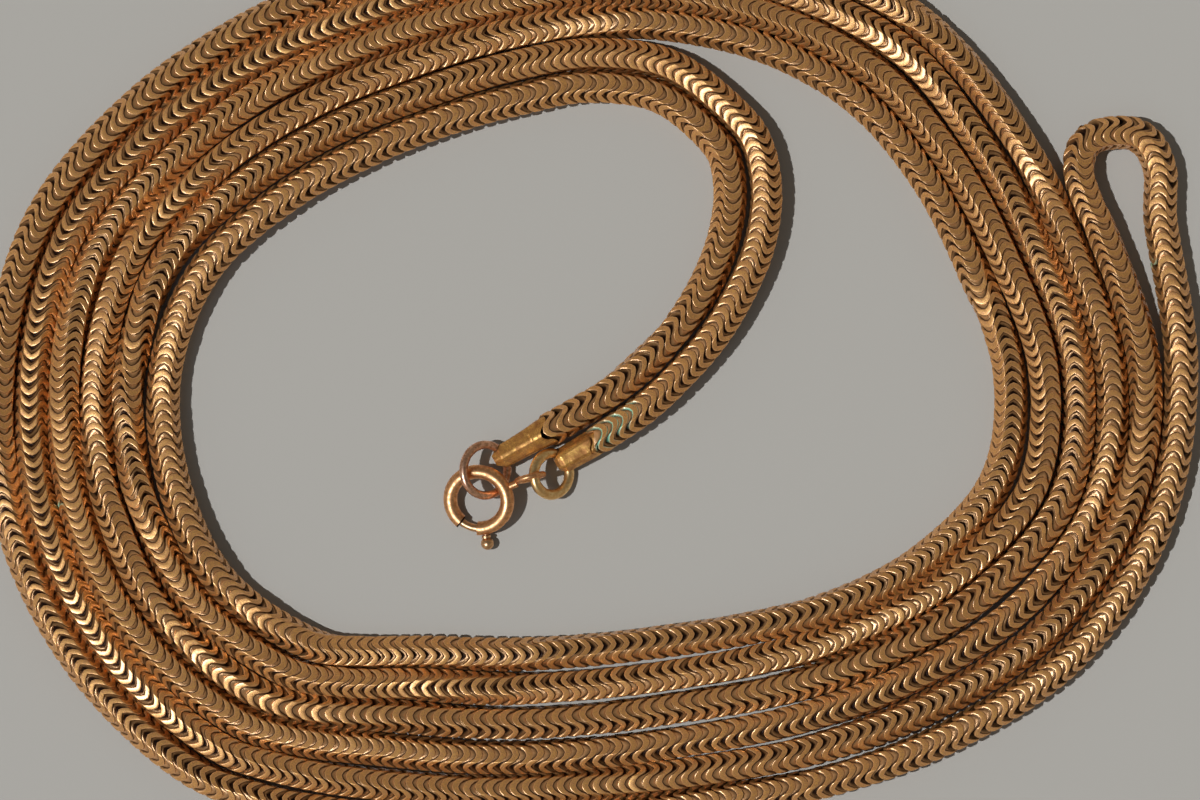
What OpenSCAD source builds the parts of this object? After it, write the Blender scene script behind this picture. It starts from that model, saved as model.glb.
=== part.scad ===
// A long snake chain laid in a flat coil of doubled strands, with its clasp fastened.
// Millimetres, +Z up. The origin is under the middle of the coil, on the surface it lies on.
// The chain is a plain tube in two halves, which meet at the tip of the fold at upper right.

/* [Chain] */
// Width of the chain across its flats
chain_w = 2.6; // [2.3:0.05:2.6]
// Gap that each loose piece keeps from its neighbour
gap = 0.1; // [0.05:0.01:0.12]

/* [Jump rings] */
// Radius of jump ring A, to the middle of its wire
ring_a_r = 2.28; // [2.2:0.01:2.32]
// Radius of jump ring A's wire
ring_a_wire = 0.38; // [0.3:0.01:0.38]
// Slope of jump ring A, its right side down
ring_a_slope = 32; // [30:0.5:33]
// Radius of jump ring B, to the middle of its wire
ring_b_r = 1.87; // [1.8:0.01:1.9]
// Radius of jump ring B's wire
ring_b_wire = 0.43; // [0.35:0.01:0.43]
// Slope of jump ring B, its right side down
ring_b_slope = 33; // [31:0.5:34]

/* [Bolt ring] */
// Radius of the bolt ring, to the middle of its tube
bolt_ring_r = 2.61; // [2.58:0.01:2.64]
// Outer radius of the bolt ring's tube
tube_r = 0.63; // [0.6:0.01:0.65]
// Radius of the channel in the tube
channel_r = 0.44; // [0.42:0.01:0.46]
// Radius of the bolt's rod
bolt_r = 0.35; // [0.3:0.01:0.36]
// Radius of the ball on the bolt's knob
knob_r = 0.58; // [0.5:0.01:0.6]
// Slope of the bolt ring, which leans on jump ring A
bolt_ring_slope = 14.5; // [14:0.5:16]

/* [Hidden] */

// From the middle that the coil's angles turn about to the middle of its bounding box
coil_shift = [-0.1, 0.58, 0];
chain_z = chain_w / 2;

// Both halves start at the clasp, run up through the middle and wind outwards side by side.
// Each route has its inner run, then the coil's turns, then its leg of the fold.
run_a = [[-3.5, -5.3], [1.4, -2.3], [4.8, 0.5], [7.7, 3.6], [10.2, 7.3], [11.9, 11.4], [12.6, 15.4],
         [12.3, 18.5]];
run_b = [[1.1, -6.1], [5.4, -3], [8.8, 0.3], [11.5, 3.6], [13.7, 7.4], [15.1, 10.8], [15.8, 14.4],
         [15.7, 17.8], [14.8, 20.8]];
fold_a = [[45, 14.6], [44, 17.6], [44.3, 19.9], [45.5, 21]];
fold_b = [[51.3, 15.7], [51.3, 17.8], [50.4, 20.1], [49, 21.2]];
fold_tip = [47.3, 21.4];

// Distance from the coil's middle, at each angle, of each half in its three turns; 0 is no turn
// angle, a1, b1, a2, b2, a3, b3
coil = [
    [45, 0, 0, 34.3, 37.2, 40.2, 43.2],
    [60, 23.2, 26.4, 33.2, 36, 38.8, 41.7],
    [75, 25.3, 28.3, 32, 34.8, 37.6, 40.5],
    [90, 25.5, 28.4, 31.3, 34.1, 36.9, 39.8],
    [105, 25.2, 28.2, 31.1, 33.9, 36.8, 39.6],
    [120, 26, 29, 31.9, 34.9, 37.8, 40.7],
    [135, 28, 31.3, 34.4, 37.5, 40.5, 43.5],
    [150, 31.4, 34.8, 38, 41.1, 44.2, 47.3],
    [165, 35.7, 39.2, 42.3, 45.3, 48.3, 51.3],
    [180, 38.2, 41.4, 44.3, 47.2, 50.1, 53],
    [195, 38.8, 42, 44.9, 47.9, 50.9, 53.8],
    [210, 38.2, 41.2, 44.2, 47.1, 50, 52.9],
    [225, 35, 38.3, 41.5, 44.6, 47.7, 50.8],
    [232, 32.2, 35.6, 38.9, 42.2, 45.4, 48.7],
    [240, 29.3, 32.6, 35.9, 39.3, 42.7, 46],
    [255, 26.5, 29.7, 32.9, 36.1, 39.2, 42.4],
    [270, 25.2, 28.3, 31.4, 34.5, 37.4, 40.4],
    [285, 25.3, 28.4, 31.4, 34.5, 37.4, 40.3],
    [300, 27, 30.1, 33.3, 36.4, 39.5, 42.7],
    [315, 30.3, 33.4, 36.5, 39.7, 42.9, 46.3],
    [330, 34.4, 37.5, 40.6, 43.9, 47.2, 50.5],
    [345, 37.9, 41.1, 44.1, 47, 49.8, 52.8],
    [360, 37.7, 40.8, 43.8, 46.8, 49.9, 53.2],
    [375, 35.6, 38.6, 41.6, 44.6, 47.7, 53.1],
    [390, 34.8, 37.6, 40.6, 43.7, 0, 0],
];
turns_a = [1, 3, 5];
turns_b = [2, 4, 6];

// End caps: hexagonal, tapered, with a chamfered end that a ring passes through
// distance from the end, half width, underside, top
cap_a_rows = [
    [0, 0.5, 0.2, 1.5],
    [0.8, 1.08, 0.02, 1.95],
    [2.6, 1.12, 0, 2.25],
    [5.7, 1.16, 0, 2.55],
];
cap_b_rows = [
    [0, 0.6, 0.2, 1.7],
    [0.7, 1.25, 0.02, 2.25],
    [3.2, 1.32, 0, 2.5],
    [4.5, 1.32, 0, 2.58],
];
cap_a_end = [-8.6, -8.2];
cap_b_end = [-3.05, -8.5];
ridge_up = 30;
face_up = 0;

// Middles of the rings, and the clearance of the holes that hold them
ring_a_at = [-9.4, -9, 1.75];
ring_b_at = [-3.45, -9.35, 1.5];
bolt_ring_at = [-10, -11.7, 1.35];
hole_gap = 0.07;

// The bolt ring's parts, by their angle round it
lean_angle = 50;
seat_angle = 232;
mouth_angle = 266.5;
rod_angle = 98;
knob_angle = 280;
slot_angles = [274.5, 324];
slot_w = 0.5;
seat_gap = 0.8;
neck_r = 0.19;
collar_r = 0.42;
collar_h = 0.2;
collar_at = 3.3;
knob_at = 4.05;
eyelet_angle = 24.4;
eyelet_at = 5.2;
eyelet_r = 1.22;
eyelet_wire = 0.26;
eyelet_turn = 17;
eyelet_lean = 14;
stub_from = 3.11;
stub_to = 3.85;
stub_r = 0.34;

// Routes
function unit(v) = v / norm(v);
function turn_points(columns) = [
    for (c = columns, row = coil) if (row[c] > 0) row[c] * [cos(row[0]), sin(row[0])]
];
// A route's end stops short of the point that it shares with its neighbour
function short_end(p, cut) = let (n = len(p) - 1) concat(
    [for (i = [0 : n - 1]) p[i]],
    [p[n] - cut * unit(p[n] - p[n - 1])]
);
route_a = short_end(concat(run_a, turn_points(turns_a), fold_a, [fold_tip]), gap / 2);
route_b = short_end(concat(run_b, turn_points(turns_b), fold_b, [fold_tip]), gap / 2);

// A tube along a flat route, with eight flats and mitred corners
sides = 8;
function along(p, i) = unit(
    (i < len(p) - 1 ? unit(p[i + 1] - p[i]) : [0, 0]) + (i > 0 ? unit(p[i] - p[i - 1]) : [0, 0])
);
function mitre(p, i) = i == 0 || i == len(p) - 1 ? 1 : 1 / (along(p, i) * unit(p[i + 1] - p[i]));
function tube_ring(p, i) = let (t = along(p, i), m = mitre(p, i), r = chain_w / 2 / cos(180 / sides)) [
    for (k = [0 : sides - 1]) let (a = 360 / sides * (k + 0.5), out = r * cos(a) * m)
        [p[i].x + t.y * out, p[i].y - t.x * out, chain_z + r * sin(a)]
];
function skin_faces(n, m) = concat(
    [for (i = [0 : n - 2], k = [0 : m - 1])
        [i * m + k, i * m + (k + 1) % m, (i + 1) * m + (k + 1) % m, (i + 1) * m + k]],
    [[for (k = [m - 1 : -1 : 0]) k], [for (k = [0 : m - 1]) (n - 1) * m + k]]
);
module chain_tube(p) {
    points = [for (i = [0 : len(p) - 1]) each tube_ring(p, i)];
    polyhedron(points, skin_faces(len(p), sides));
}

// A cap's hexagon at one row of its table, as [distance, sideways, height] points
function cap_ring(row, roll) = let (mid = (row[2] + row[3]) / 2, tall = (row[3] - row[2]) / 2) [
    for (k = [0 : 5]) let (a = roll + 60 * k, wide = roll == ridge_up ? cos(30) : 1,
                           high = roll == ridge_up ? 1 : cos(30))
        [row[0], row[1] * cos(a) / wide, mid + tall * sin(a) / high]
];
module cap_body(rows, roll) {
    points = [for (row = rows) each cap_ring(row, roll)];
    polyhedron(points, skin_faces(len(rows), 6));
}
module cap_place(end, route) {
    d = route[0] - end;
    translate([end.x, end.y, 0]) rotate([0, 0, atan2(d.y, d.x)]) children();
}

// Rings
module wire_ring(r, wire) {
    rotate_extrude($fn = 96) translate([r, 0]) circle(r = wire, $fn = 32);
}
module ring_a_place() {
    translate(ring_a_at) rotate([0, ring_a_slope, 0]) children();
}
module ring_b_place() {
    translate(ring_b_at) rotate([0, ring_b_slope, 0]) children();
}
module bolt_ring_place() {
    translate(bolt_ring_at) rotate([0, 0, lean_angle]) rotate([0, -bolt_ring_slope, 0])
        rotate([0, 0, -lean_angle]) children();
}
// A stretch of a round rod bent about the bolt ring's middle
module bent_rod(r, from, turn) {
    rotate([0, 0, from]) rotate_extrude(angle = turn, $fn = 96)
        translate([bolt_ring_r, 0]) circle(r = r, $fn = 32);
}

module chain_half_a() {
    color([0.72, 0.54, 0.32]) translate(coil_shift) chain_tube(route_a);
}
module chain_half_b() {
    color([0.7, 0.52, 0.3]) translate(coil_shift) chain_tube(route_b);
}
module end_cap_a() {
    color([0.74, 0.57, 0.3]) translate(coil_shift) difference() {
        cap_place(cap_a_end, route_a) cap_body(cap_a_rows, ridge_up);
        ring_a_place() wire_ring(ring_a_r, ring_a_wire + hole_gap);
    }
}
module end_cap_b() {
    color([0.76, 0.6, 0.32]) translate(coil_shift) difference() {
        cap_place(cap_b_end, route_b) cap_body(cap_b_rows, face_up);
        ring_b_place() wire_ring(ring_b_r, ring_b_wire + hole_gap);
    }
}
module jump_ring_a() {
    color([0.62, 0.42, 0.3]) translate(coil_shift) ring_a_place() wire_ring(ring_a_r, ring_a_wire);
}
module jump_ring_b() {
    color([0.78, 0.62, 0.32]) translate(coil_shift) ring_b_place() wire_ring(ring_b_r, ring_b_wire);
}
// A hollow ring with a mouth, a slot for the knob's neck, and an eyelet soldered on
module bolt_ring() {
    mouth = mouth_angle - seat_angle;
    color([0.78, 0.52, 0.34]) translate(coil_shift) bolt_ring_place() {
        difference() {
            bent_rod(tube_r, mouth_angle, 360 - mouth);
            bent_rod(channel_r, mouth_angle - 1, 362 - mouth);
            rotate([0, 0, slot_angles[0]])
                rotate_extrude(angle = slot_angles[1] - slot_angles[0], $fn = 96)
                    translate([bolt_ring_r, -slot_w / 2]) square([2 * tube_r, slot_w]);
        }
        rotate([0, 0, eyelet_angle]) {
            translate([stub_from, 0, 0]) rotate([0, 90, 0])
                cylinder(r = stub_r, h = stub_to - stub_from, $fn = 32);
            translate([eyelet_at, 0, 0]) rotate([0, 0, eyelet_turn - eyelet_angle])
                rotate([90 - eyelet_lean, 0, 0]) wire_ring(eyelet_r, eyelet_wire);
        }
    }
}
// A bent rod that closes the mouth, with the knob that slides it back into the ring
module bolt() {
    color([0.8, 0.55, 0.36]) translate(coil_shift) bolt_ring_place() {
        bent_rod(bolt_r, seat_angle + seat_gap, rod_angle);
        rotate([0, 0, knob_angle]) rotate([0, 90, 0]) {
            translate([0, 0, bolt_ring_r]) cylinder(r = neck_r, h = knob_at - bolt_ring_r, $fn = 32);
            translate([0, 0, collar_at]) cylinder(r = collar_r, h = collar_h, $fn = 32);
            translate([0, 0, knob_at]) sphere(r = knob_r, $fn = 48);
        }
    }
}

chain_half_a();
chain_half_b();
end_cap_a();
end_cap_b();
jump_ring_a();
jump_ring_b();
bolt_ring();
bolt();
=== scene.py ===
"""A long gilt snake chain in a flat coil of doubled strands, with its clasp fastened."""
import bpy
import math
import numpy as np
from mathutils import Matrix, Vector


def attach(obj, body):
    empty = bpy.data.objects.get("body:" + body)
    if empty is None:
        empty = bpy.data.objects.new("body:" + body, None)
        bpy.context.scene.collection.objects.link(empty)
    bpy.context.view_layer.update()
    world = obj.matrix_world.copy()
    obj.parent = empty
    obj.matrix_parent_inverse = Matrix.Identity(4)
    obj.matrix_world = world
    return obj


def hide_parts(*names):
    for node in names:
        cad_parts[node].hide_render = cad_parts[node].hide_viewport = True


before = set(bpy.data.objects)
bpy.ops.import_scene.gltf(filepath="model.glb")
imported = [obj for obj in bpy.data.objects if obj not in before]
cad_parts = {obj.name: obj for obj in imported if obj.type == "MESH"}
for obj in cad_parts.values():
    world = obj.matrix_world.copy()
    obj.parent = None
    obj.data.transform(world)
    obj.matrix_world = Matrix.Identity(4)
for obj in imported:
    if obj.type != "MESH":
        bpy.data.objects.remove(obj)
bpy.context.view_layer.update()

MM = 0.001

# The coil's middle, as the part's source has it, and the routes of both halves in millimetres from there.
COIL_SHIFT = np.array([-0.1, 0.58])
RUN_A = [[-3.9, -5.52], [1.4, -2.3], [4.8, 0.5], [7.7, 3.6], [10.2, 7.3], [11.9, 11.4], [12.6, 15.4],
         [12.3, 18.5]]
RUN_B = [[0.71, -6.33], [5.4, -3], [8.8, 0.3], [11.5, 3.6], [13.7, 7.4], [15.1, 10.8], [15.8, 14.4],
         [15.7, 17.8], [14.8, 20.8]]
FOLD_A = [[45, 14.6], [44, 17.6], [44.3, 19.9], [45.5, 21]]
FOLD_B = [[51.3, 15.7], [51.3, 17.8], [50.4, 20.1], [49, 21.2]]
FOLD_TIP = [47.3, 21.4]

# Distance from the coil's middle, at each angle, of each half in its three turns; 0 is no turn
# angle, a1, b1, a2, b2, a3, b3
COIL = np.array([
    [45, 0, 0, 34.3, 37.2, 40.2, 43.2],
    [60, 23.2, 26.4, 33.2, 36, 38.8, 41.7],
    [75, 25.3, 28.3, 32, 34.8, 37.6, 40.5],
    [90, 25.5, 28.4, 31.3, 34.1, 36.9, 39.8],
    [105, 25.2, 28.2, 31.1, 33.9, 36.8, 39.6],
    [120, 26, 29, 31.9, 34.9, 37.8, 40.7],
    [135, 28, 31.3, 34.4, 37.5, 40.5, 43.5],
    [150, 31.4, 34.8, 38, 41.1, 44.2, 47.3],
    [165, 35.7, 39.2, 42.3, 45.3, 48.3, 51.3],
    [180, 38.2, 41.4, 44.3, 47.2, 50.1, 53],
    [195, 38.8, 42, 44.9, 47.9, 50.9, 53.8],
    [210, 38.2, 41.2, 44.2, 47.1, 50, 52.9],
    [225, 35, 38.3, 41.5, 44.6, 47.7, 50.8],
    [232, 32.2, 35.6, 38.9, 42.2, 45.4, 48.7],
    [240, 29.3, 32.6, 35.9, 39.3, 42.7, 46],
    [255, 26.5, 29.7, 32.9, 36.1, 39.2, 42.4],
    [270, 25.2, 28.3, 31.4, 34.5, 37.4, 40.4],
    [285, 25.3, 28.4, 31.4, 34.5, 37.4, 40.3],
    [300, 27, 30.1, 33.3, 36.4, 39.5, 42.7],
    [315, 30.3, 33.4, 36.5, 39.7, 42.9, 46.3],
    [330, 34.4, 37.5, 40.6, 43.9, 47.2, 50.5],
    [345, 37.9, 41.1, 44.1, 47, 49.8, 52.8],
    [360, 37.7, 40.8, 43.8, 46.8, 49.9, 53.2],
    [375, 35.6, 38.6, 41.6, 44.6, 47.7, 53.1],
    [390, 34.8, 37.6, 40.6, 43.7, 0, 0],
])

# How far the links of each half are rolled over, and how closely they sit: round values chosen
# with measurements of the photograph in view.
# millimetres from the cap, degrees of roll towards the inner side
ROLL_A = [
    [0, 60], [10, 15], [20, 55], [50, 45], [90, 55], [114, 75], [120, 50], [130, 105], [140, 110],
    [150, 140], [170, 140], [205, 110], [212, 55], [250, 55], [260, 90], [290, 95], [305, 160],
    [318, 170], [330, 210], [346, 160], [370, 205], [395, 205], [420, 150], [450, 130], [474, 85],
    [490, 105], [525, 130], [560, 100], [580, 130], [615, 90], [642, 75], [650, 45], [680, 10],
    [700, -15], [715, -60], [730, -85], [739, -70],
]
ROLL_B = [
    [0, 25], [50, 20], [65, 45], [85, 50], [97, 80], [105, 140], [120, 235], [145, 270], [160, 330],
    [180, 335], [190, 360], [210, 335], [260, 350], [300, 360], [315, 400], [330, 420], [350, 480],
    [365, 490], [395, 490], [440, 525], [455, 515], [475, 480], [490, 475], [500, 525], [510, 530],
    [515, 560], [560, 585], [620, 630], [635, 665], [650, 660], [660, 685], [690, 720], [718, 745],
    [742, 725], [790, 735],
]
# millimetres from the cap, millimetres from link to link
PITCH_A = [
    [0, 1.2], [12, 1.2], [28, 0.95], [50, 1.1], [82, 1.15], [90, 0.95], [106, 1.1], [122, 1.1],
    [128, 0.9], [138, 1.15], [170, 1.2], [180, 1], [202, 1], [212, 1.1], [275, 1.05], [314, 0.95],
    [322, 1.15], [330, 0.95], [338, 1.2], [404, 1.2], [450, 1.1], [460, 1], [475, 1], [530, 1.1],
    [640, 1.05], [652, 1.15], [690, 1.15], [738, 0.95],
]
PITCH_B = [
    [0, 1.1], [18, 0.95], [50, 0.95], [60, 1], [90, 1], [98, 1.1], [114, 1.1], [122, 1], [146, 1],
    [154, 1.15], [178, 1.15], [186, 1.05], [210, 1.1], [242, 0.9], [290, 0.9], [328, 1], [346, 0.9],
    [362, 0.9], [370, 1], [394, 1], [410, 1.2], [450, 1.2], [460, 1.1], [482, 1.1], [490, 0.95],
    [506, 0.95], [576, 1.1], [610, 1.1], [634, 1.15], [776, 1.15], [788, 0.95],
]

# A link: six flats with narrow rounded ridges, and both edges waved three times round. Where the
# gap is open, the rear edge is notched at the wave's crest.
FLAT_TO_AXIS = 1.36 * MM
FACE_STOPS = np.array([-0.88, -0.46, 0, 0.46, 0.88])
CROWN = math.radians(4)
WAVE = 0.56 * MM
WAVE_ROUNDNESS = 0.75
LAND_LEAN = 0.05
LAND_LAPPED = 0.41 * MM
LAND_OPEN = 0.47 * MM
LAND_MOST = 0.68
NOTCH = 0.2 * MM
REAR_BEVEL = 0.09 * MM
# The rings of points of a link, from its rear end to its front, each edge with a bevel. Where links
# lap, a polished ledge of each slopes under the next; on the faces between, the gap falls deep
# behind the front and comes up as a rounded neck at the next link's rear.
# end (-1 rear, 1 front), how far past the land as a share of the gap and in millimetres, depth in
# millimetres, lean of the surface, roundness, darkness (painted shade in the gaps and creases), polish
RING_COLUMNS = ["end", "share", "past", "deep", "lean", "round", "dark", "polish"]
LAPPED = np.array([
    [-1, 0, 0.08, 0.18, -1.6, 0, 0.95, 0.3],
    [-1, 0, 0.06, 0.03, -0.62, 0, 0, 1],
    [-1, 0, 0, 0, -0.08, 0, 0, 0.4],
    [1, 0, 0, 0, 0.08, 0, 0, 0.4],
    [1, 0, 0.09, 0.035, 0.62, 0, 0, 1],
    [1, 0, 0.12, 0.2, 0.9, 0.5, 1, 1],
    [1, 0, 0.21, 0.16, 0.1, 1, 0.6, 1],
    [1, 1, -0.09, 0.13, 0.6, 1, 0.1, 1],
])
OPEN = np.array([
    [-1, 0, 0.08, 0.2, -1.6, 0, 0.9, 0.3],
    [-1, 0, 0.07, 0.035, -0.62, 0, 0, 1],
    [-1, 0, 0, 0, -0.08, 0, 0, 0.4],
    [1, 0, 0, 0, 0.08, 0, 0, 0.4],
    [1, 0, 0.1, 0.04, 0.62, 0, 0, 1],
    [1, 0, 0.12, 0.4, 2.0, 0, 1.0, 0],
    [1, 0.6, 0, 0.45, -1.0, 0.6, 1.0, 0.3],
    [1, 1, -0.09, 0.22, -0.2, 1, 0.6, 1],
])
# How much verdigris each ring of points takes: most sits on the bevels and in the crease.
GREEN_RINGS = np.array([0.4, 1, 0.1, 0.25, 1, 0.8, 0.3, 0])
# The slope of an edge's wave has no limit where its cosine is zero, so it is held below this one.
LEAST_CREST = 0.2
NOTCH_SHARPNESS = 6
ROUTE_STEPS = 24
COUNT_STEPS = 8000
PIECES_IN_HALF = 2
LINK_SEED = 20
PITCH_SPREAD = 0.03
ROLL_SPREAD = math.radians(2)
LEAN_SPREAD = 0.034
HEADING_SPREAD = LEAN_SPREAD / 2

# Jump rings: where, distance from the middle to the wire's, half the wire, slope about y
RING_A = {"at": [-9.4, -9, 1.75], "reach": 2.28, "wire": 0.38, "slope": 32}
RING_B = {"at": [-3.45, -9.35, 1.5], "reach": 1.87, "wire": 0.46, "slope": 33}
RING_STEPS = 180
WIRE_AROUND = 28
WIRE_WEAR = 0.02
WIRE_RIPPLE = 0.012

# End caps of six flats. In millimetres: end is where the free end lies, to is where the chain
# starts. The rows hold distance from the free end, half width, underside and top. The marks are
# dents and crimps: distance from the free end, degrees from straight up towards the left, reach
# and depth; a height has a minus. The first corner is in degrees from straight up, and the roll
# turns the mouth's wave to fit the first link.
CAP_A = {
    "end": [-8.6, -8.2],
    "to": [-3.5, -5.3],
    "rows": np.array([
        [0, 0.5, 0.25, 1.5],
        [0.75, 1.06, 0.02, 1.98],
        [2.6, 1.12, 0, 2.25],
        [4.2, 1.22, 0, 2.5],
        [5.35, 1.34, 0, 2.65],
    ]),
    "first_corner": 0,
    "marks": [[4.05, 48, 0.22, 0.12], [3.75, 20, 0.16, 0.1], [3.95, 12, 0.12, -0.06], [2.9, 40, 0.5, 0.05],
              [2.2, -20, 0.7, 0.04], [1.6, 30, 0.35, 0.03], [3.3, -35, 0.5, -0.04], [0.75, 60, 0.25, 0.1]],
    "roll": ROLL_A[0][1] - 5,
    "ring": RING_A,
    "seam": False,
    "green_edge": False,
}
CAP_B = {
    "end": [-3.05, -8.5],
    "to": [1.1, -6.1],
    "rows": np.array([
        [0, 0.6, 0.25, 1.7],
        [0.3, 0.98, 0.08, 2.06],
        [0.7, 1.24, 0.02, 2.27],
        [3.2, 1.33, 0, 2.52],
        [4.4, 1.38, 0, 2.62],
    ]),
    "first_corner": 30,
    "marks": [[1.4, 20, 0.5, 0.03], [2.6, -10, 0.6, 0.03], [4.2, 0, 0.35, 0.03], [0.5, -30, 0.3, -0.03]],
    "roll": ROLL_B[0][1],
    "ring": RING_B,
    "seam": True,
    "green_edge": True,
}
CAP_ROUND = 0.15
CAP_AROUND = 14
CAP_STEPS = 90
CAP_TIP = 0.8
CAP_TIP_STEPS = 12
CAP_SHARP = math.radians(42)
CAP_RIPPLE = 0.007
MARK_RADIUS = 1.2
# The wave of a cap's mouth fades over this length. Past the edge the wall turns in: shares of the
# outer section at the edge, just behind the edge and at the depth where the wall ends.
MOUTH_FADE = 1.6
MOUTH_WALL = 0.9
MOUTH_LIP = 0.02
MOUTH_LIP_WALL = 0.8
MOUTH_DEPTH = 1
MOUTH_DEPTH_WALL = 0.75
# The lap seam: its place, half width and depth, how far round it goes, and the step behind it
SEAM_AT = 3.6
SEAM_WIDTH = 0.07
SEAM_DEPTH = 0.12
SEAM_REACH = 31
SEAM_STEP = 0.03
# Painted shade round a hole lies this near the ring's wire, and this near the cap's free end.
HOLE_SHADE_REACH = 0.2
HOLE_SHADE_WITHIN = 1.6
# Verdigris on a mouth's edge: how far back it starts, how closely it follows the wave, how soon it
# is full, and how near the top it stays
GREEN_BACK = 0.25
GREEN_FOLLOW = 0.9
GREEN_FULL = 0.3
GREEN_TOP = 0.7

# On the bolt ring: the line where the bolt meets its seat, in degrees round the ring and metres
# across, and a blob of solder. Each is full up to a share of its reach.
BOLT_RING_AT = [-10, -11.7, 1.35]
SEAT_LINE_AT = 230.8
SEAT_LINE = 0.09 * MM
SEAT_LINE_FULL = 0.6
SEAT_LINE_STARTS = 1 * MM
SOLDER_AT = [-7.05, -10.1, 1.6]
SOLDER_REACH = 0.45 * MM
SOLDER_FULL = 0.7

# Spots of green verdigris: x, y, reach, in millimetres
VERDIGRIS = np.array([
    [1, -5.4, 1.5],
    [2.4, -4.2, 1.3],
    [3.6, -3, 0.9],
    [50.4, 10.2, 0.5],
    [-47.8, -11.6, 0.5],
])

# Wear: how many cells of noise a metre holds, and which part of each noise shows
GRAIN_SIZE = 9000.0
PATCH_SIZE = 3200.0
CAP_PATCH_SIZE = 1500.0
CAP_SPOT_SIZE = 6000.0
DULL_FROM, DULL_TO = 0.4, 0.62
SPECK_FROM, SPECK_TO = 0.48, 0.6
BUMP_HEIGHT = 0.03 * MM
BUMP_WORN = 0.5
BUMP_SMOOTH = 0.12
PLAIN_SPREAD = 0.12

# Colours of the chain, the caps and the other metals
CHAIN_SHADE = (0.76, 0.35, 0.053)
CHAIN_LIGHT = (0.9, 0.465, 0.083)
CHAIN_DULL = (0.53, 0.26, 0.038)
CHAIN_SPECK = (0.42, 0.14, 0.05)
CHAIN_POLISHED = (0.95, 0.5, 0.21)
# Near black painted into the gaps and creases between links: painted shade.
CHAIN_GAP_SHADE = (0.022, 0.009, 0.006)
CHAIN_GREEN = (0.2, 0.52, 0.36)
CAP_GILT = (0.84, 0.45, 0.11)
CAP_DULL = (0.4, 0.17, 0.045)
CAP_SPECK = (0.56, 0.23, 0.07)
# Dark painted into the cap's seam line, and painted shade inside its mouth and round the ring's hole.
CAP_SHADE_AND_SEAM = (0.02, 0.01, 0.006)
CAP_GREEN = (0.19, 0.51, 0.35)
SEAT_DARK = (0.02, 0.01, 0.008)
SOLDER = (0.95, 0.72, 0.6)
FLOOR_GREY = (0.375, 0.365, 0.342)
# base, where it is dull, and the least roughness
ROSE_TARNISH = [(0.95, 0.55, 0.34), (0.54, 0.26, 0.14), 0.3]
YELLOW_BRASS = [(1, 0.69, 0.31), (0.86, 0.48, 0.17), 0.3]
ROSE_GILT = [(0.95, 0.49, 0.21), (0.66, 0.3, 0.12), 0.36]
RUBBED_GILT = [(0.9, 0.52, 0.25), (0.6, 0.34, 0.16), 0.32]

# How rough and how metallic the chain and the caps are
CHAIN_ROUGH, CHAIN_ROUGHEST = 0.42, 0.54
POLISHED_ROUGH = 0.3
CHAIN_METALLIC = 0.78
CHAIN_COAT = 0.55
CHAIN_COAT_ROUGH = 0.2
COAT_ENDS_AT = 0.6
GREEN_FROM, GREEN_TO, GREEN_MOST = 0.25, 0.8, 0.85
CAP_ROUGH, CAP_ROUGHEST = 0.34, 0.5
CAP_METALLIC = 0.82
FLOOR_ROUGH = 0.85

# Light, view and floor, in metres; a lamp's width is in degrees
KEY_FROM = Vector((-0.51, -0.03, 0.86))
KEY_STRENGTH = 3.15
KEY_WIDTH = 1.5
KEY_COLOUR = (1, 1, 1)
GLINT_AT = Vector((-0.15, -0.131, 0.25))
GLINT_RADIUS = 0.045
GLINT_POWER = 1.95
GLINT_COLOUR = (0.88, 1.04, 1.3)
SKY_COLOUR = (1, 0.945, 0.85, 1)
SKY_LOW, SKY_HIGH = 0.3, 0.11
SKY_CHANGES_FROM, SKY_CHANGES_TO = 0.3, 0.85
VIEW_CENTRE = Vector((0.8 * MM, -2.12 * MM, 1.3 * MM))
VIEW_WIDTH = 108 * MM
VIEW_FROM = 0.4
VIEW_NEAREST, VIEW_FARTHEST = 0.01, 10
SENSOR_WIDTH = 36
FLOOR_HALF = 2.5


# Meshes

def new_mesh(name, points, faces, normals=None, values=None):
    """A mesh piece at the origin, smooth, with its own normals and named values at its points."""
    mesh = bpy.data.meshes.new(name)
    mesh.from_pydata(points.tolist(), [], faces)
    mesh.update()
    mesh.polygons.foreach_set("use_smooth", [True] * len(mesh.polygons))
    for key, column in (values or {}).items():
        layer = mesh.attributes.new(key, "FLOAT", "POINT")
        layer.data.foreach_set("value", np.asarray(column, np.float32).ravel())
    if normals is not None:
        mesh.normals_split_custom_set_from_vertices(normals.tolist())
    piece = bpy.data.objects.new(name, mesh)
    bpy.context.scene.collection.objects.link(piece)
    return piece


def skin_faces(rings, around):
    """Quads between rings of points, each ring closed, and a face over the first ring and the last."""
    ring, point = np.meshgrid(np.arange(rings - 1), np.arange(around), indexing="ij")
    beside = (point + 1) % around
    quads = np.stack([
        ring * around + point,
        (ring + 1) * around + point,
        (ring + 1) * around + beside,
        ring * around + beside,
    ], axis=-1).reshape(-1, 4).tolist()
    first = list(range(around))
    last = [(rings - 1) * around + k for k in reversed(range(around))]
    return quads + [first, last]


def closed_faces(rings, around):
    """Quads of a surface that closes both ways."""
    ring, point = np.meshgrid(np.arange(rings), np.arange(around), indexing="ij")
    after, beside = (ring + 1) % rings, (point + 1) % around
    return np.stack([
        ring * around + point,
        after * around + point,
        after * around + beside,
        ring * around + beside,
    ], axis=-1).reshape(-1, 4).tolist()


def unit(v):
    """Each vector of an array at length one."""
    return v / np.linalg.norm(v, axis=-1, keepdims=True)


def edge_wave(crest, height):
    """How far an edge waves forward at each cosine of three times the angle: the cosine with its
    sign kept and its size raised to a power under one, which makes the crests rounder."""
    return height * np.sign(crest) * np.abs(crest) ** WAVE_ROUNDNESS


# Routes

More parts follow.
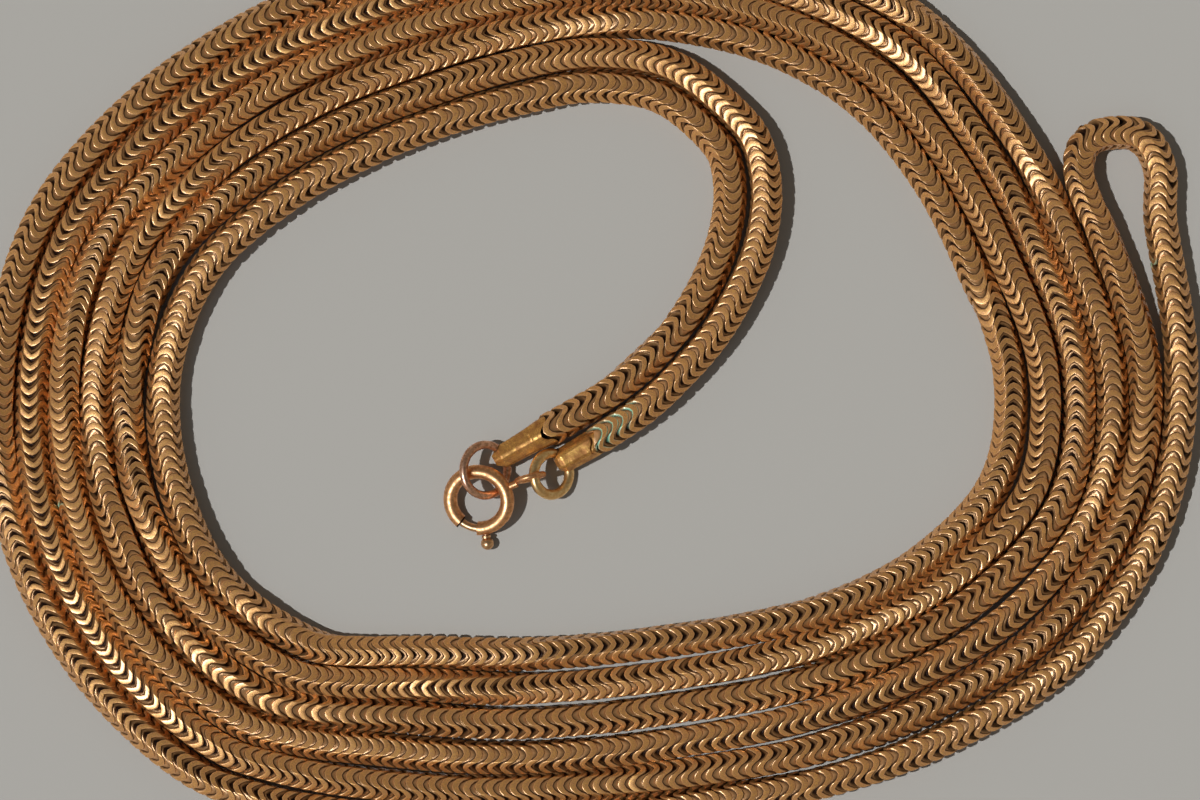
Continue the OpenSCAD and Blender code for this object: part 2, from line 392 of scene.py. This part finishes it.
def smooth_route(points):
    """A centripetal Catmull-Rom curve: a cubic from each point to the next, with end slopes weighted
    by the square roots of the distances between points."""
    points = np.array(points, float)
    p = np.vstack([2 * points[0] - points[1], points, 2 * points[-1] - points[-2]])
    root = np.sqrt(np.linalg.norm(np.diff(p, axis=0), axis=1))[:, None]
    before, start, end, after = p[:-3], p[1:-2], p[2:-1], p[3:]
    d1, d2, d3 = root[:-2], root[1:-1], root[2:]
    slope_in = (end - start) + d2 * ((start - before) / d1 - (end - before) / (d1 + d2))
    slope_out = (end - start) + d2 * ((after - end) / d3 - (after - start) / (d2 + d3))
    t = np.linspace(0, 1, ROUTE_STEPS, endpoint=False)[None, :, None]
    curve = ((2 * t**3 - 3 * t**2 + 1) * start[:, None] + (t**3 - 2 * t**2 + t) * slope_in[:, None]
             + (3 * t**2 - 2 * t**3) * end[:, None] + (t**3 - t**2) * slope_out[:, None])
    return np.vstack([curve.reshape(-1, 2), points[-1]])


def turn_points(columns):
    """Points of the coil's turns, each its distance at its angle."""
    angle = np.radians(COIL[:, 0])
    turns = [COIL[:, c, None] * np.stack([np.cos(angle), np.sin(angle)], 1) for c in columns]
    return np.vstack([turn[COIL[:, c] > 0] for turn, c in zip(turns, columns)])


def places_of_links(length, pitch):
    """Where the links of a half sit along it, and their spacing there. The count of links up to each
    place is the sum of one over the pitch."""
    fine = np.linspace(0, length, COUNT_STEPS)
    spacing = np.interp(fine, pitch[:, 0] * MM, pitch[:, 1] * MM)
    count = np.concatenate([[0], np.cumsum(np.diff(fine) / spacing[1:])])
    links = round(count[-1])
    middle = np.interp((np.arange(links) + 0.5) * count[-1] / links, count, fine)
    return middle, np.interp(middle, fine, spacing)


def half_of_chain(run, columns, fold, roll, pitch, flow, seed):
    """One half's links: where each sits, its heading, roll and small errors. The flow is 1 where the
    links' fronts point away from the cap and -1 where they point towards it."""
    route = (smooth_route(np.vstack([run, turn_points(columns), fold, [FOLD_TIP]])) + COIL_SHIFT) * MM
    along = np.concatenate([[0], np.cumsum(np.linalg.norm(np.diff(route, axis=0), axis=1))])
    roll, pitch = np.array(roll, float), np.array(pitch, float)
    middle, step = places_of_links(along[-1], pitch)
    links = len(middle)
    slope = unit(np.gradient(route, axis=0))
    heading = np.unwrap(np.arctan2(slope[:, 1], slope[:, 0]))
    random = np.random.default_rng(seed)
    middle = middle + PITCH_SPREAD * step * random.uniform(-1, 1, links)
    turn = np.interp(middle, along, heading)
    rolled = np.radians(np.interp(middle, roll[:, 0] * MM, roll[:, 1]))
    return {
        "x": np.interp(middle, along, route[:, 0]),
        "y": np.interp(middle, along, route[:, 1]),
        "bend": np.interp(middle, along, np.gradient(heading, along)),
        "step": step,
        "heading": turn + HEADING_SPREAD * random.normal(0, 1, links),
        "roll": rolled + ROLL_SPREAD * random.normal(0, 1, links),
        "lean": LEAN_SPREAD * random.normal(0, 1, links),
        "tone": random.uniform(0, 1, links),
        "flow": np.full(links, flow),
    }


# The chain

def link_section():
    """A link's points round its axis: angle, distance and the direction of the surface there."""
    stops = np.tile(FACE_STOPS, 6)
    centre = np.repeat(np.radians(np.arange(6) * 60), len(FACE_STOPS))
    side = stops * FLAT_TO_AXIS * math.tan(math.radians(30))
    return centre + np.arctan2(side, FLAT_TO_AXIS), np.hypot(side, FLAT_TO_AXIS), centre + stops * CROWN


def ring_profile(openness, flow):
    """The columns of the rings' tables at each point round a link, mixed by how open the gap is
    there, with the rings in the order in which the route meets them."""
    share = openness[:, None]
    mixture = LAPPED[::flow, None] * (1 - share) + OPEN[::flow, None] * share
    return dict(zip(RING_COLUMNS, np.moveaxis(mixture, -1, 0)))


def ring_places(links, profile, openness, turned, reach):
    """How far towards its front each ring of points lies from a link's middle: half the land, then
    its share of the gap, and at the rear the notch."""
    # On the inner side of a bend the next link comes closer and lands get short.
    room = links["step"] * (1 - links["bend"] * reach * np.sin(turned))
    widest = LAND_LAPPED + (LAND_OPEN - LAND_LAPPED) * openness
    land = np.minimum(widest, LAND_MOST * room)
    gap = room - land
    # Nothing of a link's front reaches past the bevel of the next one's rear.
    past = np.minimum(profile["share"] * gap + profile["past"] * MM, np.maximum(gap - REAR_BEVEL, 0))
    notch = (profile["end"] < 0) * NOTCH * openness ** NOTCH_SHARPNESS
    return profile["end"] * (land / 2 + past) + notch


def link_points(links, along, away, turned):
    """Points at a distance along the axis and away from it at an angle, with the link leaning by its
    own error, lying on the floor, turned to its heading and moved to its place."""
    left = away * np.sin(turned)
    up = away * np.cos(turned)
    along, up = along + links["lean"] * up, up - links["lean"] * along
    cos, sin = np.cos(links["heading"]), np.sin(links["heading"])
    x = links["x"] + cos * along - sin * left
    y = links["y"] + sin * along + cos * left
    return np.stack([x, y, up - up.min(axis=(1, 2), keepdims=True)], -1)


def link_normals(links, profile, crest, section, flow):
    """Directions of the surface. A bevel faces away from its edge, so its lean follows the slope of
    the wave, which is the wave's derivative by the distance round the link."""
    angle, reach, facing = section
    slope = -3 * WAVE * WAVE_ROUNDNESS * np.sin(3 * angle) / reach
    slope = slope * np.maximum(np.abs(crest), LEAST_CREST) ** (WAVE_ROUNDNESS - 1)
    facing = facing + (angle - facing) * profile["round"] + links["roll"]
    over_edge = flow * profile["lean"] / np.hypot(1, slope) + 0 * facing
    ahead = over_edge + flow * LAND_LEAN + links["lean"]
    beside = -over_edge * slope
    left = np.sin(facing) + beside * np.cos(facing)
    up = np.cos(facing) - beside * np.sin(facing)
    cos, sin = np.cos(links["heading"]), np.sin(links["heading"])
    return unit(np.stack([cos * ahead - sin * left, sin * ahead + cos * left, up], -1))


def verdigris_at(points):
    """How green points are: the exponential of minus the squared distance from the nearest spot."""
    x, y = points[..., 0, None] / MM, points[..., 1, None] / MM
    spots = np.hypot(x - VERDIGRIS[:, 0], y - VERDIGRIS[:, 1])
    return np.exp(-((spots / VERDIGRIS[:, 2]) ** 2)).max(-1)


def chain_piece(name, half, first, last, node_name):
    """Links first to last as one skin. Each link is a band round the axis whose edges follow the
    cosine of three times the angle, with the rings of the tables past its land."""
    links = {key: column[first:last + 1, None, None] for key, column in half.items()}
    flow = half["flow"][0]
    section = link_section()
    angle, reach, _ = section
    crest = np.cos(3 * angle)
    openness = (1 + flow * crest) / 2
    profile = ring_profile(openness, flow)
    turned = angle + links["roll"]
    place = ring_places(links, profile, openness, turned, reach)
    along = edge_wave(crest, WAVE) + flow * place
    away = reach - profile["deep"] * MM + 0 * along
    points = link_points(links, along, away, turned)
    normals = link_normals(links, profile, crest, section, flow)
    shape = np.ones(points.shape[:3])
    values = {
        # Painted shade: the darkness column paints the gaps and creases between links near black.
        "painted_shade_and_seam": shape * profile["dark"],
        "polish": shape * profile["polish"],
        "tone": shape * links["tone"],
        "verdigris": verdigris_at(points) * GREEN_RINGS[::flow, None],
    }
    rows = len(LAPPED)
    # The last link gives only its first ring, which the next piece starts with.
    rings = (last - first) * rows + (1 if last < len(half["step"]) - 1 else rows)
    held = rings * len(angle)
    piece = new_mesh(
        name,
        points.reshape(-1, 3)[:held],
        skin_faces(rings, len(angle)),
        normals.reshape(-1, 3)[:held],
        {key: column.reshape(-1)[:held] for key, column in values.items()},
    )
    piece.data.materials.append(chain_metal())
    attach(piece, "chain")
    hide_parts(node_name)
    return piece


def build_chain():
    """Both halves, each in pieces that stay well under the limit on triangles."""
    half_a = half_of_chain(RUN_A, [1, 3, 5], FOLD_A, ROLL_A, PITCH_A, 1, LINK_SEED)
    half_b = half_of_chain(RUN_B, [2, 4, 6], FOLD_B, ROLL_B, PITCH_B, -1, LINK_SEED + 1)
    for letter, half in (("a", half_a), ("b", half_b)):
        ends = np.linspace(0, len(half["step"]) - 1, PIECES_IN_HALF + 1).astype(int)
        for n, (first, last) in enumerate(zip(ends[:-1], ends[1:])):
            chain_piece(f"chain_half_{letter}_{n + 1}", half, first, last, f"chain_half_{letter}")


# The clasp

def shifted(at):
    """A place given from the coil's middle, in metres."""
    return np.array([*(np.array(at[:2]) + COIL_SHIFT), at[2]]) * MM


def ring_frame(ring):
    """A jump ring's middle, its two axes in its plane, and its axis."""
    slope = math.radians(ring["slope"])
    across = np.array([math.cos(slope), 0, -math.sin(slope)])
    along = np.array([0, 1.0, 0])
    return shifted(ring["at"]), across, along, np.cross(across, along)


def wire_distance(points, ring):
    """How far points lie from the middle line of a ring's wire."""
    middle, across, along, axis = ring_frame(ring)
    out = points - middle
    flat = np.hypot(out @ across, out @ along)
    return np.hypot(flat - ring["reach"] * MM, out @ axis)


def wire_ring(name, ring, metal, node_name):
    """A circle of wire carried round its middle, a little thinner where it has worn and not
    quite even: the distance from the wire's middle line is a slow wave of both angles."""
    middle, across, along, axis = ring_frame(ring)
    turn = np.linspace(0, 2 * math.pi, RING_STEPS, endpoint=False)[:, None]
    spin = np.linspace(0, 2 * math.pi, WIRE_AROUND, endpoint=False)[None, :]
    uneven = 1 + WIRE_WEAR * np.sin(3 * turn + 1) + WIRE_RIPPLE * np.sin(7 * turn - 2 * spin)
    thick = ring["wire"] * MM * uneven
    out = np.cos(turn)[..., None] * across + np.sin(turn)[..., None] * along
    points = (middle + out * (ring["reach"] * MM + thick * np.cos(spin))[..., None]
              - axis * (thick * np.sin(spin))[..., None])
    piece = new_mesh(name, points.reshape(-1, 3), closed_faces(RING_STEPS, WIRE_AROUND))
    piece.data.materials.append(metal)
    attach(piece, "chain")
    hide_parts(node_name)
    return piece


def cap_section(rows, first_corner, distance):
    """The hexagon at each distance: sideways and height of points on six flats, short of the
    corners, with the angle of each from straight up towards the left."""
    half, under, top = (np.interp(distance, rows[:, 0], rows[:, c])[:, None] for c in (1, 2, 3))
    share = np.tile(np.linspace(CAP_ROUND, 1 - CAP_ROUND, CAP_AROUND), 6)
    corner = np.radians(first_corner + 60 * np.repeat(np.arange(6), CAP_AROUND))
    side = np.sin(corner) * (1 - share) + np.sin(corner + math.radians(60)) * share
    up = np.cos(corner) * (1 - share) + np.cos(corner + math.radians(60)) * share
    wide = math.cos(math.radians(30 - first_corner))
    high = math.cos(math.radians(first_corner))
    middle, tall = (top + under) / 2, (top - under) / 2
    return half * side / wide, middle + tall * up / high, np.arctan2(side, up)


def cap_relief(shape, along, angle):
    """How far a cap's surface sinks and how dark it is: a product of two slow sines, dents that are
    the exponential of minus the squared distance, and a seam of the same form with a step."""
    sink = CAP_RIPPLE * np.sin(5 * along + 2 * angle) * np.sin(3.1 * along - 3 * angle)
    for place, turned, reach, depth in shape["marks"]:
        arc = (np.degrees(angle) - turned + 180) % 360 - 180
        far = (along - place) ** 2 + (np.radians(arc) * MARK_RADIUS) ** 2
        sink = sink + depth * np.exp(-far / reach**2)
    dark = 0 * along
    if shape["seam"]:
        across = np.exp(-(((along - SEAM_AT) / SEAM_WIDTH) ** 2)) * (np.abs(np.degrees(angle)) < SEAM_REACH)
        sink = sink + SEAM_DEPTH * across + SEAM_STEP * (along > SEAM_AT)
        dark = np.maximum(dark, across)
    return sink, dark


def cap_surface(shape):
    """A cap's surface before it is placed: distance from the free end, sideways, height, darkness (the seam
    line, and painted shade inside the mouth) and green of each point. The section is carried along the
    rows, and its mouth waves like the links."""
    rows = shape["rows"]
    last = rows[-1, 0]
    tip = np.linspace(0, CAP_TIP, CAP_TIP_STEPS)
    distance = np.concatenate([tip, np.linspace(CAP_TIP, last, CAP_STEPS)[1:]])
    side, height, angle = cap_section(rows, shape["first_corner"], distance)
    along = distance[:, None] + 0 * side
    middle = (height.max(1, keepdims=True) + height.min(1, keepdims=True)) / 2
    out = unit(np.stack([side, height - middle], -1))
    sink, dark = cap_relief(shape, along, angle)
    crest = np.cos(3 * (angle - math.radians(shape["roll"])))
    wave = edge_wave(crest, WAVE / MM)
    along = along + wave * np.clip((along - last + MOUTH_FADE) / MOUTH_FADE, 0, 1)
    side = side - sink * out[..., 0]
    height = height - sink * out[..., 1]

    edge, rise = along[-1], height[-1] - middle[-1]
    inner = [
        (edge, MOUTH_WALL),
        (edge - MOUTH_LIP, MOUTH_LIP_WALL),
        (0 * edge + last - MOUTH_DEPTH, MOUTH_DEPTH_WALL),
    ]
    along = np.vstack([along] + [row for row, _ in inner])
    side = np.vstack([side] + [side[-1] * share for _, share in inner])
    height = np.vstack([height] + [middle[-1] + rise * share for _, share in inner])
    # The inner wall of the mouth is painted fully dark: painted shade.
    dark = np.vstack([dark] + [np.ones_like(edge)] * len(inner))
    green = 0 * along
    if shape["green_edge"]:
        green = np.clip((along - last + GREEN_BACK - wave * GREEN_FOLLOW) / GREEN_FULL, 0, 1)
        green = green * (np.abs(np.cos(angle / 2)) > GREEN_TOP)
    return along, side, height, dark, green


def cap(name, node_name, shape, metal):
    """A hexagonal sleeve with a waved mouth, rounded ridges and dents, laid from its free end
    towards the chain, with painted shade where the ring goes through it."""
    along, side, height, dark, green = cap_surface(shape)
    heading = unit(np.array(shape["to"]) - np.array(shape["end"]))
    flat = (np.array(shape["end"]) + COIL_SHIFT + along[..., None] * heading
            + side[..., None] * np.array([-heading[1], heading[0]]))
    points = np.concatenate([flat, height[..., None]], -1).reshape(-1, 3) * MM
    # Painted shade round the hole where the ring's wire goes in, near the free end.
    near = wire_distance(points, shape["ring"]) / MM - shape["ring"]["wire"]
    at_free_end = np.repeat(along.min(1) < HOLE_SHADE_WITHIN, along.shape[1])
    hole = np.clip(1 - near / HOLE_SHADE_REACH, 0, 1) * at_free_end
    values = {"painted_shade_and_seam": np.maximum(dark.ravel(), hole), "verdigris": green.ravel()}
    piece = new_mesh(name, points, skin_faces(len(along), side.shape[1]), None, values)
    piece.data.set_sharp_from_angle(angle=CAP_SHARP)
    piece.data.materials.append(metal)
    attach(piece, "chain")
    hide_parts(node_name)
    return piece


def build_clasp():
    """The caps and the jump rings, in place of the plain ones."""
    gilt = cap_metal()
    cap("cap_a", "end_cap_a", CAP_A, gilt)
    cap("cap_b", "end_cap_b", CAP_B, gilt)
    wire_ring("ring_a", RING_A, plain_metal("rose tarnish", *ROSE_TARNISH), "jump_ring_a")
    wire_ring("ring_b", RING_B, plain_metal("yellow brass", *YELLOW_BRASS), "jump_ring_b")


# Materials

def node(tree, kind, **sockets):
    """A shader node with its inputs set, by value or by link from another socket. An input is given
    by its name, or as i and its number where several have the same name."""
    made = tree.nodes.new(kind)
    for key, value in sockets.items():
        numbered = key[0] == "i" and key[1:].isdigit()
        target = made.inputs[int(key[1:]) if numbered else key.replace("_", " ")]
        if isinstance(value, bpy.types.NodeSocket):
            tree.links.new(value, target)
        else:
            target.default_value = value
    return made


def ranged(tree, value, start, end, low, high):
    """A value carried from one range to another and held at its ends."""
    made = node(tree, "ShaderNodeMapRange", Value=value, From_Min=start, From_Max=end, To_Min=low,
                To_Max=high)
    return made.outputs[0]


def calculated(tree, kind, operation, **sockets):
    """A number or vector worked out from others by a math node."""
    made = node(tree, kind, **sockets)
    made.operation = operation
    return made


def grain_group():
    """Fine mottle and rubbing of worn gilt: a mask of dull patches, a mask of specks, and a height
    for bump."""
    if "worn grain" in bpy.data.node_groups:
        return bpy.data.node_groups["worn grain"]
    group = bpy.data.node_groups.new("worn grain", "ShaderNodeTree")
    for label, value in (("Grain Size", GRAIN_SIZE), ("Patch Size", PATCH_SIZE)):
        size = group.interface.new_socket(label, in_out="INPUT", socket_type="NodeSocketFloat")
        size.default_value = value
    for label in ("Dull", "Height", "Speck"):
        group.interface.new_socket(label, in_out="OUTPUT", socket_type="NodeSocketFloat")
    sizes = group.nodes.new("NodeGroupInput").outputs
    results = group.nodes.new("NodeGroupOutput").inputs
    where = group.nodes.new("ShaderNodeTexCoord").outputs["Object"]
    fine = node(group, "ShaderNodeTexNoise", Vector=where, Scale=sizes["Grain Size"], Detail=3.0,
                Roughness=0.6).outputs[0]
    patch = node(group, "ShaderNodeTexNoise", Vector=where, Scale=sizes["Patch Size"], Detail=4.0,
                 Roughness=0.65).outputs[0]
    group.links.new(ranged(group, patch, DULL_FROM, DULL_TO, 0.0, 1.0), results["Dull"])
    group.links.new(ranged(group, fine, SPECK_FROM, SPECK_TO, 0.0, 1.0), results["Speck"])
    group.links.new(fine, results["Height"])
    return group


def placed_grain(tree, patch_size=PATCH_SIZE):
    """The grain group placed in a material: its outputs."""
    made = tree.nodes.new("ShaderNodeGroup")
    made.node_tree = grain_group()
    made.inputs["Patch Size"].default_value = patch_size
    return made.outputs


def mixed(tree, share, low, high):
    """A colour between two others, by a share that varies over the surface."""
    made = tree.nodes.new("ShaderNodeMix")
    made.data_type = "RGBA"
    tree.links.new(share, made.inputs[0])
    for place, colour in ((6, low), (7, high)):
        if isinstance(colour, bpy.types.NodeSocket):
            tree.links.new(colour, made.inputs[place])
        else:
            made.inputs[place].default_value = (*colour, 1)
    return made.outputs[2]


def attribute(tree, name):
    """A value that the mesh holds at its points."""
    made = tree.nodes.new("ShaderNodeAttribute")
    made.attribute_name = name
    return made.outputs["Fac"]


def new_material(name):
    """An empty material with its shader."""
    material = bpy.data.materials.new(name)
    material.use_nodes = True
    return material, material.node_tree, material.node_tree.nodes["Principled BSDF"]


def bumped(tree, shader, grain, strength):
    """Gives a shader the fine relief of the grain."""
    bump = node(tree, "ShaderNodeBump", Height=grain["Height"], Strength=strength, Distance=BUMP_HEIGHT)
    tree.links.new(bump.outputs[0], shader.inputs["Normal"])


def chain_metal():
    """Gilt brass: worn lands, polished rims and ledges, painted shade near black in the gaps, spots of
    verdigris.
    """
    if "chain gilt" in bpy.data.materials:
        return bpy.data.materials["chain gilt"]
    material, tree, shader = new_material("chain gilt")
    grain = placed_grain(tree)
    polish = attribute(tree, "polish")
    painted_shade_and_seam = attribute(tree, "painted_shade_and_seam")
    colour = mixed(tree, attribute(tree, "tone"), CHAIN_SHADE, CHAIN_LIGHT)
    colour = mixed(tree, grain["Dull"], colour, CHAIN_DULL)
    colour = mixed(tree, grain["Speck"], colour, CHAIN_SPECK)
    colour = mixed(tree, polish, colour, CHAIN_POLISHED)
    # Painted shade in the gaps and creases.
    colour = mixed(tree, painted_shade_and_seam, colour, CHAIN_GAP_SHADE)
    green = ranged(tree, attribute(tree, "verdigris"), GREEN_FROM, GREEN_TO, 0.0, GREEN_MOST)
    colour = mixed(tree, green, colour, CHAIN_GREEN)
    tree.links.new(colour, shader.inputs["Base Color"])
    worn = ranged(tree, grain["Dull"], 0.0, 1.0, CHAIN_ROUGH, CHAIN_ROUGHEST)
    rough = ranged(tree, polish, 0.0, 1.0, worn, POLISHED_ROUGH)
    tree.links.new(rough, shader.inputs["Roughness"])
    tree.links.new(ranged(tree, green, 0.0, 1.0, CHAIN_METALLIC, 0.0), shader.inputs["Metallic"])
    tree.links.new(ranged(tree, painted_shade_and_seam, 0.0, COAT_ENDS_AT, CHAIN_COAT, 0.0), shader.inputs["Coat Weight"])
    shader.inputs["Coat Roughness"].default_value = CHAIN_COAT_ROUGH
    bumped(tree, shader, grain, BUMP_WORN)
    return material


def cap_metal():
    """Gilt of the caps: olive gold in soft mottles, dark in the seam, painted shade in the mouth and round
    the hole.
    """
    material, tree, shader = new_material("cap gilt")
    grain = placed_grain(tree, CAP_PATCH_SIZE)
    fine = placed_grain(tree, CAP_SPOT_SIZE)
    colour = mixed(tree, grain["Dull"], CAP_GILT, CAP_DULL)
    colour = mixed(tree, fine["Speck"], colour, CAP_SPECK)
    # The seam line, and painted shade in the mouth and round the hole.
    colour = mixed(tree, attribute(tree, "painted_shade_and_seam"), colour, CAP_SHADE_AND_SEAM)
    colour = mixed(tree, attribute(tree, "verdigris"), colour, CAP_GREEN)
    tree.links.new(colour, shader.inputs["Base Color"])
    rough = ranged(tree, grain["Dull"], 0.0, 1.0, CAP_ROUGH, CAP_ROUGHEST)
    tree.links.new(rough, shader.inputs["Roughness"])
    shader.inputs["Metallic"].default_value = CAP_METALLIC
    bumped(tree, shader, grain, BUMP_WORN)
    return material


def plain_metal(name, base, dull, rough):
    """A worn metal for the clasp's parts."""
    material, tree, shader = new_material(name)
    grain = placed_grain(tree)
    tree.links.new(mixed(tree, grain["Dull"], base, dull), shader.inputs["Base Color"])
    spread = ranged(tree, grain["Dull"], 0.0, 1.0, rough, rough + PLAIN_SPREAD)
    tree.links.new(spread, shader.inputs["Roughness"])
    shader.inputs["Metallic"].default_value = 1.0
    bumped(tree, shader, grain, BUMP_SMOOTH)
    return material


def dot_with(tree, vector, direction):
    """How far a vector goes along a direction."""
    return calculated(tree, "ShaderNodeVectorMath", "DOT_PRODUCT", i0=vector, i1=direction).outputs["Value"]


def seat_line(tree, where):
    """A mask of the line where the bolt meets its seat: near the ray from the bolt ring's middle at
    the line's angle, by the distance beside it, and only on its own side of the middle."""
    turned = math.radians(SEAT_LINE_AT)
    out = calculated(tree, "ShaderNodeVectorMath", "SUBTRACT", i0=where, i1=shifted(BOLT_RING_AT))
    beyond = dot_with(tree, out.outputs[0], (math.cos(turned), math.sin(turned), 0))
    beside = dot_with(tree, out.outputs[0], (-math.sin(turned), math.cos(turned), 0))
    off = calculated(tree, "ShaderNodeMath", "ABSOLUTE", i0=beside).outputs[0]
    line = ranged(tree, off, SEAT_LINE * SEAT_LINE_FULL, SEAT_LINE, 1.0, 0.0)
    side = ranged(tree, beyond, 0.0, SEAT_LINE_STARTS, 0.0, 1.0)
    return calculated(tree, "ShaderNodeMath", "MULTIPLY", i0=line, i1=side).outputs[0]


def solder_blob(tree, where):
    """A mask of the solder by the eyelet, by the distance from its middle."""
    away = calculated(tree, "ShaderNodeVectorMath", "DISTANCE", i0=where, i1=shifted(SOLDER_AT))
    return ranged(tree, away.outputs["Value"], SOLDER_REACH * SOLDER_FULL, SOLDER_REACH, 1.0, 0.0)


def bolt_ring_metal():
    """Rose gilt with a dark line across the tube where the bolt meets its seat, and a pale blob
    of solder by the eyelet."""
    material = plain_metal("rose gilt", *ROSE_GILT)
    tree = material.node_tree
    surface = tree.nodes["Principled BSDF"].inputs["Base Color"]
    where = tree.nodes.new("ShaderNodeTexCoord").outputs["Object"]
    gilt = surface.links[0].from_socket
    soldered = mixed(tree, solder_blob(tree, where), gilt, SOLDER)
    tree.links.new(mixed(tree, seat_line(tree, where), soldered, SEAT_DARK), surface)
    return material


def dress_clasp():
    """Gives each part of the clasp that stays as modelled its own metal."""
    metals = {
        "bolt_ring": bolt_ring_metal(),
        "bolt": plain_metal("rose gilt rubbed", *RUBBED_GILT),
    }
    for name, metal in metals.items():
        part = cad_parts[name]
        part.data.materials.clear()
        part.data.materials.append(metal)


# Surroundings

def build_floor():
    """A plain grey sheet under the chain."""
    h = FLOOR_HALF
    corners = np.array([[-h, -h, 0], [h, -h, 0], [h, h, 0], [-h, h, 0]])
    floor = new_mesh("floor", corners, [[0, 1, 2, 3]])
    material, _, shader = new_material("floor paper")
    shader.inputs["Base Color"].default_value = (*FLOOR_GREY, 1)
    shader.inputs["Roughness"].default_value = FLOOR_ROUGH
    floor.data.materials.append(material)


def placed_lamp(name, kind, strength, colour):
    """A lamp of a kind at the origin, with its strength and colour."""
    settings = bpy.data.lights.new(name, kind)
    settings.energy = strength
    settings.color = colour
    lamp = bpy.data.objects.new(name, settings)
    bpy.context.scene.collection.objects.link(lamp)
    return lamp


def build_lights():
    """A distant key from the left makes the shadows and isn't mirrored. A nearer lamp is only
    mirrored, and makes the glints. A pale sky fills the rest."""
    key = placed_lamp("key", "SUN", KEY_STRENGTH, KEY_COLOUR)
    key.data.angle = math.radians(KEY_WIDTH)
    key.rotation_euler = KEY_FROM.to_track_quat("Z", "Y").to_euler()
    key.visible_glossy = False
    glints = placed_lamp("glints", "POINT", GLINT_POWER, GLINT_COLOUR)
    glints.data.shadow_soft_size = GLINT_RADIUS
    glints.location = GLINT_AT
    glints.visible_diffuse = False
    build_sky()


def build_sky():
    """A pale sky, stronger near the horizon than overhead."""
    world = bpy.data.worlds.new("pale sky")
    bpy.context.scene.world = world
    world.use_nodes = True
    tree = world.node_tree
    background = tree.nodes["Background"]
    background.inputs["Color"].default_value = SKY_COLOUR
    direction = tree.nodes.new("ShaderNodeTexCoord").outputs["Generated"]
    height = node(tree, "ShaderNodeSeparateXYZ", Vector=direction).outputs[2]
    strength = ranged(tree, height, SKY_CHANGES_FROM, SKY_CHANGES_TO, SKY_LOW, SKY_HIGH)
    tree.links.new(strength, background.inputs["Strength"])


def build_camera():
    """A long lens straight above, as wide as the photograph."""
    lens = bpy.data.cameras.new("camera")
    lens.sensor_width = SENSOR_WIDTH
    lens.lens = SENSOR_WIDTH * VIEW_FROM / VIEW_WIDTH
    lens.clip_start, lens.clip_end = VIEW_NEAREST, VIEW_FARTHEST
    camera = bpy.data.objects.new("camera", lens)
    camera.location = VIEW_CENTRE + Vector((0, 0, VIEW_FROM))
    bpy.context.scene.collection.objects.link(camera)
    bpy.context.scene.camera = camera


bpy.context.scene.view_settings.view_transform = "Standard"
build_camera()
build_lights()
build_floor()
build_chain()
build_clasp()
dress_clasp()
